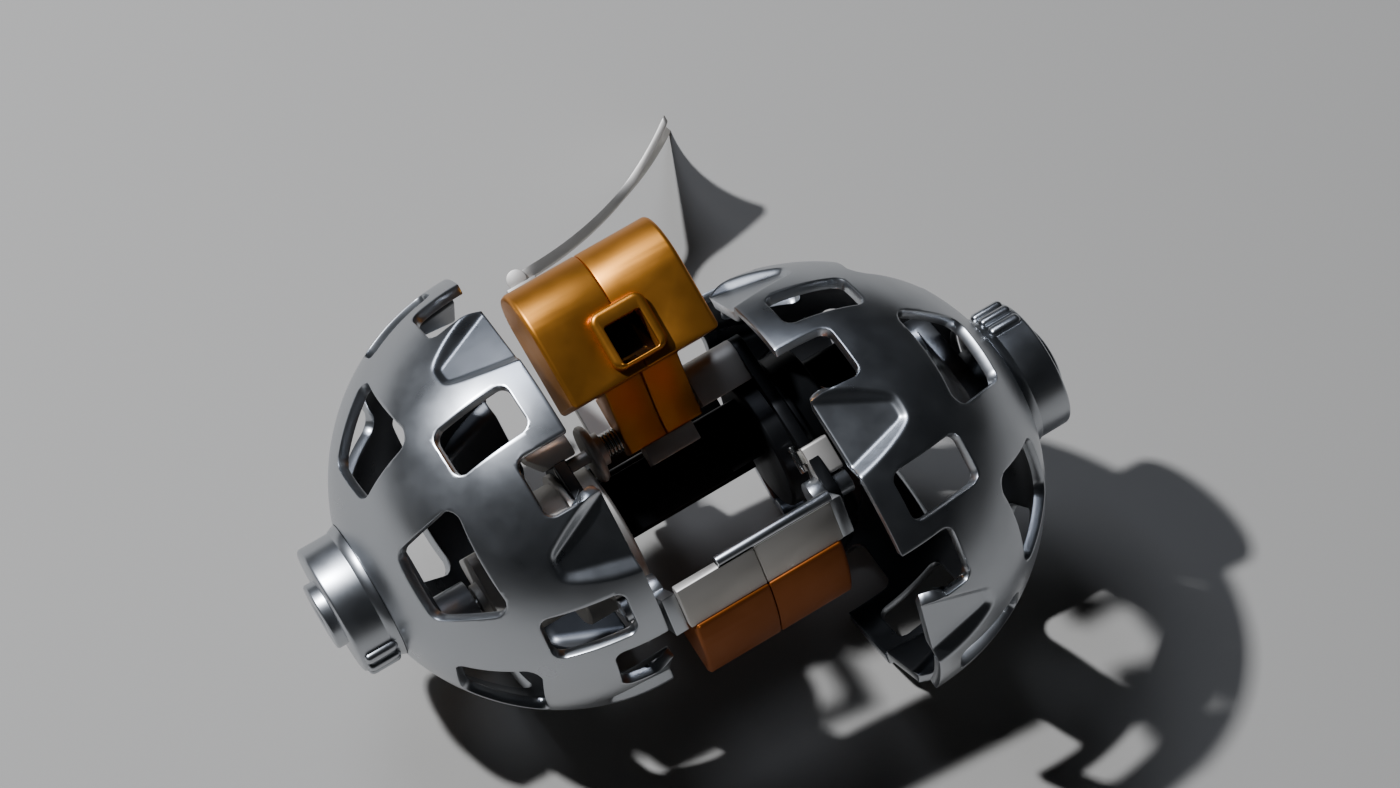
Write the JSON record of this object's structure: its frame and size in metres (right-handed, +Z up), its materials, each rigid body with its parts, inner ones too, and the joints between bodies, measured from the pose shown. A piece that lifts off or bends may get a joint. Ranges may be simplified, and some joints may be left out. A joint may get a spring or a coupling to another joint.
{
  "type": "planetary rover prototype",
  "caption": "Palm-sized lunar rover opened out of a ball: perforated half-shell wheels on an eccentric axle, a tilting camera head between them and a curved tail.",
  "frame": {"origin": "middle of the footprint's bounding box, on the ground", "axes": "+Z up, +Y to the rear where the tail trails, +X to the rover's right as seen by someone facing its camera"},
  "size_m": [0.1342, 0.1412, 0.0811],
  "materials": {
    "aluminium": "machined, fine satin",
    "gold_metal": "satin orange-gold coat",
    "steel": "bright drawn steel",
    "dark_metal": "dull machined",
    "dark_window": "dark glossy"
  },
  "bodies": {
    "body": {"motor_left": "aluminium", "chin_lug_left": "aluminium", "side_plate_left": "dark_metal", "chin_arm_left": "aluminium", "chin_left": "gold_metal", "chin_strip_left": "aluminium", "motor_right": "aluminium", "chin_lug_right": "aluminium", "side_plate_right": "dark_metal", "chin_arm_right": "aluminium", "chin_right": "gold_metal", "chin_strip_right": "aluminium", "cross_beam": "dark_metal", "rear_housing": "dark_metal", "front_cover": "dark_metal", "hinge_block_right": "aluminium", "hinge_block_left": "aluminium", "hinge_pin": "steel", "hinge_spring": "steel", "hinge_collar": "aluminium", "chin_edge_rod": "steel", "latch_pin": "steel", "tail_ear_left": "aluminium", "tail_ear_right": "aluminium", "tail_pin": "steel"},
    "wheel_left": {"wheel_shell_left": "aluminium", "wheel_hub_left": "aluminium", "wheel_crank_left": "aluminium", "drive_shaft_left": "steel"},
    "wheel_right": {"wheel_shell_right": "aluminium", "wheel_hub_right": "aluminium", "wheel_crank_right": "aluminium", "drive_shaft_right": "steel"},
    "head": {"head_left": "gold_metal", "head_right": "gold_metal", "window_frame": "gold_metal", "camera_window": "dark_window", "head_stop": "aluminium"},
    "tail": {"tail_blade": "steel", "tail_clamp": "aluminium", "tail_arm": "aluminium"}
  },
  "joints": [
    {"name": "wheel_left_spin", "type": "hinge", "parent": "body", "child": "wheel_left", "pos_m": [0, -0.03184, 0.04], "axis": [0.8515, 0.5157, 0.0946], "continuous": true},
    {"name": "wheel_right_spin", "type": "hinge", "parent": "body", "child": "wheel_right", "pos_m": [0, -0.03184, 0.04], "axis": [0.8515, 0.5157, 0.0946], "continuous": true},
    {"name": "head_tilt", "type": "hinge", "parent": "body", "child": "head", "pos_m": [-0.0053, -0.02544, 0.0528], "axis": [-0.8515, -0.5157, -0.0946], "range_deg": [0, 90], "stiffness_Nm_per_rad": 0.004, "springref_deg": -171.89},
    {"name": "tail_pivot", "type": "hinge", "parent": "body", "child": "tail", "pos_m": [-0.00939, -0.01751, 0.0159], "axis": [-0.8515, -0.5157, -0.0946], "range_deg": [0, 25]}
  ]
}
